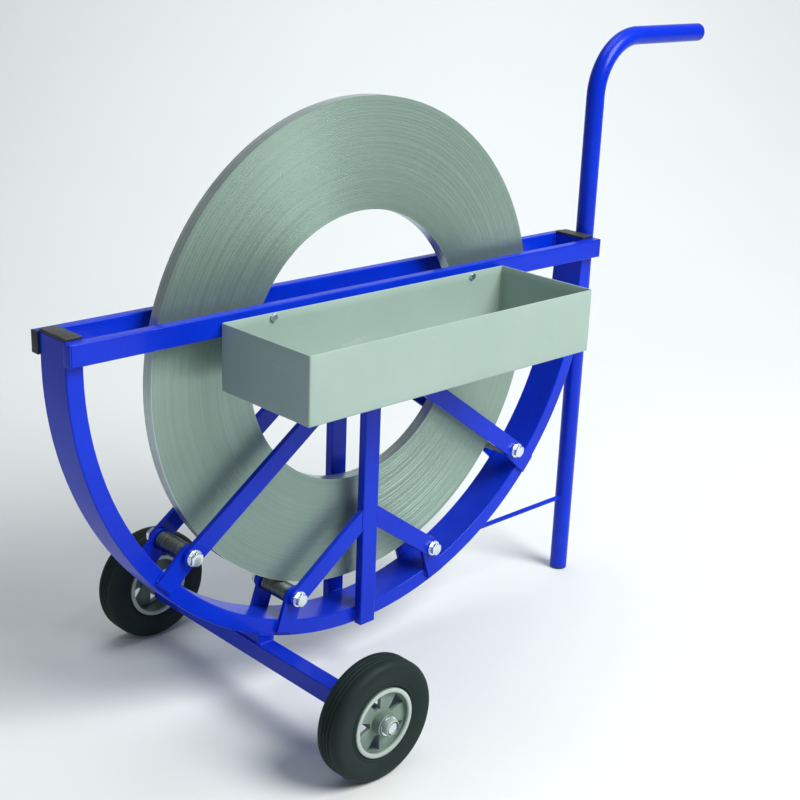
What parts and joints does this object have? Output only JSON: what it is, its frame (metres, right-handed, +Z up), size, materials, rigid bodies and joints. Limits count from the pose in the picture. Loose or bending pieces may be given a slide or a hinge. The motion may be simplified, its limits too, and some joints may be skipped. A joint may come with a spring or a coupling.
{
  "type": "strapping coil cart",
  "caption": "Wheeled strapping dispenser cart: a half-round tube bow with roller nest carries a ribbon-wound steel strap coil; side tool tray, push handle and rear leg.",
  "frame": {"origin": "on the floor, at the middle of the cart's whole length and width", "axes": "+X towards the handle and leg end, -Y towards the tool tray, +Z up"},
  "size_m": [1.287, 0.6086, 0.957],
  "materials": {
    "frame_blue": "gloss enamel",
    "tray_grey": "satin enamel",
    "strap_steel": "wound strip edges",
    "tyre_black": "matt moulded rubber",
    "rim_grey": "cast and painted",
    "zinc_hardware": "bright zinc plate",
    "black_plastic": "moulded",
    "roller_steel": "turned",
    "nylon": "natural"
  },
  "bodies": {
    "frame": {"bow": "frame_blue", "front_rail": "frame_blue", "back_rail": "frame_blue", "handle_tube": "frame_blue", "leg_brace": "frame_blue", "front_post": "frame_blue", "back_post": "frame_blue", "axle_tube": "frame_blue", "axle_saddle": "frame_blue", "upper_left_front_arm": "frame_blue", "upper_left_back_arm": "frame_blue", "upper_right_front_arm": "frame_blue", "upper_right_back_arm": "frame_blue", "lower_left_front_arm": "frame_blue", "lower_left_back_arm": "frame_blue", "lower_right_front_arm": "frame_blue", "lower_right_back_arm": "frame_blue", "upper_left_front_bracket": "frame_blue", "upper_left_back_bracket": "frame_blue", "upper_right_front_bracket": "frame_blue", "upper_right_back_bracket": "frame_blue", "lower_left_front_bracket": "frame_blue", "lower_left_back_bracket": "frame_blue", "lower_right_front_bracket": "frame_blue", "lower_right_back_bracket": "frame_blue", "left_bow_cap": "black_plastic", "right_bow_cap": "black_plastic", "rail_end_plugs": "black_plastic", "handle_end_plug": "black_plastic", "leg_foot": "black_plastic", "roller_bolts": "zinc_hardware", "roller_nuts": "zinc_hardware", "roller_washers": "zinc_hardware", "tray_screws": "zinc_hardware", "tray_nuts": "zinc_hardware", "axle_washers": "zinc_hardware", "axle_retainers": "zinc_hardware", "axle_shaft": "zinc_hardware", "roller_spacers": "nylon", "tool_tray": "tray_grey"},
    "coil": {"strap_coil": "strap_steel"},
    "roller_upper_left": {"upper_left_roller": "roller_steel", "upper_left_roller_bushes": "nylon"},
    "roller_upper_right": {"upper_right_roller": "roller_steel", "upper_right_roller_bushes": "nylon"},
    "roller_lower_left": {"lower_left_roller": "roller_steel", "lower_left_roller_bushes": "nylon"},
    "roller_lower_right": {"lower_right_roller": "roller_steel", "lower_right_roller_bushes": "nylon"},
    "front_wheel": {"front_tyre": "tyre_black", "front_rim": "rim_grey", "front_wheel_bushes": "nylon"},
    "back_wheel": {"back_tyre": "tyre_black", "back_rim": "rim_grey", "back_wheel_bushes": "nylon"}
  },
  "joints": [
    {"name": "coil_spin", "type": "hinge", "parent": "frame", "child": "coil", "pos_m": [-0.1405, 0, 0.51713], "axis": [0, 1, 0], "continuous": true},
    {"name": "upper_left_roller_spin", "type": "hinge", "parent": "frame", "child": "roller_upper_left", "pos_m": [-0.4655, 0, 0.28661], "axis": [0, 1, 0], "continuous": true},
    {"name": "upper_right_roller_spin", "type": "hinge", "parent": "frame", "child": "roller_upper_right", "pos_m": [0.1845, 0, 0.28661], "axis": [0, 1, 0], "continuous": true},
    {"name": "lower_left_roller_spin", "type": "hinge", "parent": "frame", "child": "roller_lower_left", "pos_m": [-0.2795, 0, 0.16422], "axis": [0, 1, 0], "continuous": true},
    {"name": "lower_right_roller_spin", "type": "hinge", "parent": "frame", "child": "roller_lower_right", "pos_m": [-0.0015, 0, 0.16422], "axis": [0, 1, 0], "continuous": true},
    {"name": "front_wheel_spin", "type": "hinge", "parent": "frame", "child": "front_wheel", "pos_m": [-0.3285, -0.266, 0.089], "axis": [0, 1, 0], "continuous": true},
    {"name": "back_wheel_spin", "type": "hinge", "parent": "frame", "child": "back_wheel", "pos_m": [-0.3285, 0.266, 0.089], "axis": [0, 1, 0], "continuous": true}
  ],
  "couplings": [
    {"joint": "lower_left_roller_spin", "follows": "coil_spin", "ratio": -26.071},
    {"joint": "lower_right_roller_spin", "follows": "coil_spin", "ratio": -26.071}
  ]
}
